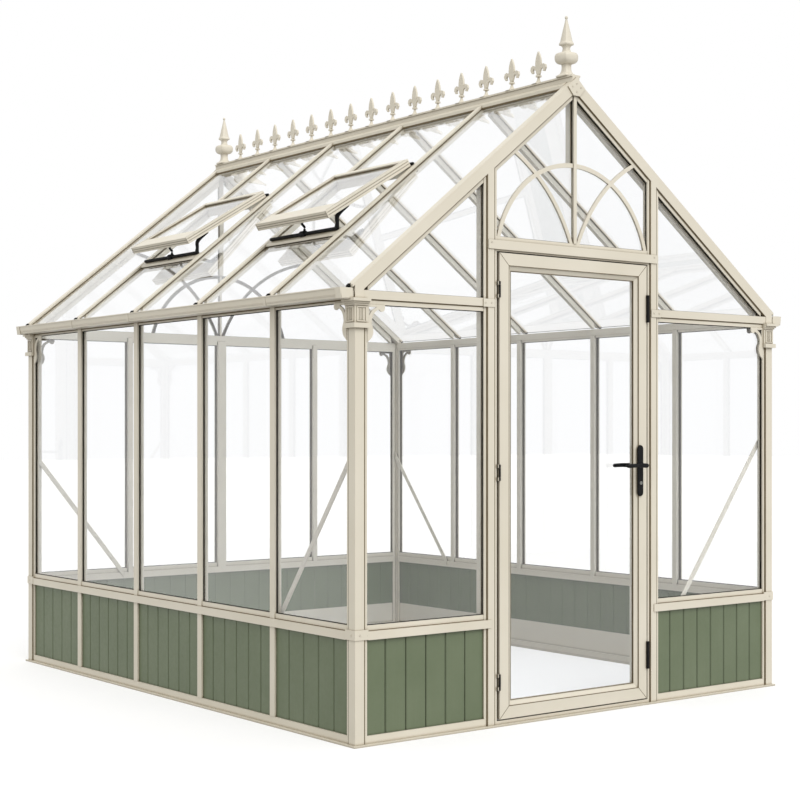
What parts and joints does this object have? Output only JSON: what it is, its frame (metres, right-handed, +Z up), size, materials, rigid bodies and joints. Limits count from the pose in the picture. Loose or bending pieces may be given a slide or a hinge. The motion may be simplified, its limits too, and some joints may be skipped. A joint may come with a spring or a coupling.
{
  "type": "glass greenhouse",
  "caption": "Free-standing glazed greenhouse with a steep pitched roof, boarded lower walls, one hinged door, open roof vents, ridge cresting and gutters.",
  "frame": {"origin": "centre of the plan at ground level", "axes": "+Z up; the door faces -Y; +X is to the right when facing the door"},
  "size_m": [2.798, 3.25, 3.235],
  "materials": {
    "cream_frame": "cream powder coat, satin",
    "green_boarding": "sage green, satin",
    "clear_glass": "clear",
    "black_fittings": "black, satin"
  },
  "bodies": {
    "house": {"apex_plates": "cream_frame", "back_gable_bars": "cream_frame", "back_gable_rafters": "cream_frame", "back_glass": "clear_glass", "back_wall_bars": "cream_frame", "base_rails_end": "cream_frame", "base_rails_side": "cream_frame", "corner_braces": "cream_frame", "corner_brackets": "cream_frame", "corner_posts": "cream_frame", "door_posts": "cream_frame", "eave_rails_end": "cream_frame", "eave_rails_side": "cream_frame", "fanlight_bars": "cream_frame", "front_gable_rafters": "cream_frame", "front_glass": "clear_glass", "gutters": "cream_frame", "left_wall_bars": "cream_frame", "left_wall_glass": "clear_glass", "mid_rails_end": "cream_frame", "mid_rails_side": "cream_frame", "panels_end": "green_boarding", "panels_side": "green_boarding", "post_hinges": "black_fittings", "ridge_beam": "cream_frame", "ridge_cresting": "cream_frame", "ridge_finials": "cream_frame", "right_wall_bars": "cream_frame", "right_wall_glass": "clear_glass", "roof_bars_left": "cream_frame", "roof_bars_right": "cream_frame", "roof_glass_left": "clear_glass", "roof_glass_right": "clear_glass", "transom": "cream_frame", "vent_fittings": "black_fittings", "vent_frames": "cream_frame", "vent_glass": "clear_glass", "vent_trimmers": "cream_frame"},
    "door": {"door_frame": "cream_frame", "door_glass": "clear_glass", "handle_plates": "black_fittings", "door_hinges": "black_fittings", "lock_covers": "black_fittings"},
    "lever": {"door_lever": "black_fittings"}
  },
  "joints": [
    {"name": "door_hinge", "type": "hinge", "parent": "house", "child": "door", "pos_m": [-0.536, -1.585, 1], "axis": [0, 0, -1], "range_deg": [0, 100]},
    {"name": "lever_turn", "type": "hinge", "parent": "door", "child": "lever", "pos_m": [0.352, -1.58, 1.145], "axis": [0, -1, 0], "range_deg": [0, 40], "stiffness_Nm_per_rad": 3, "springref_deg": -17.19}
  ]
}
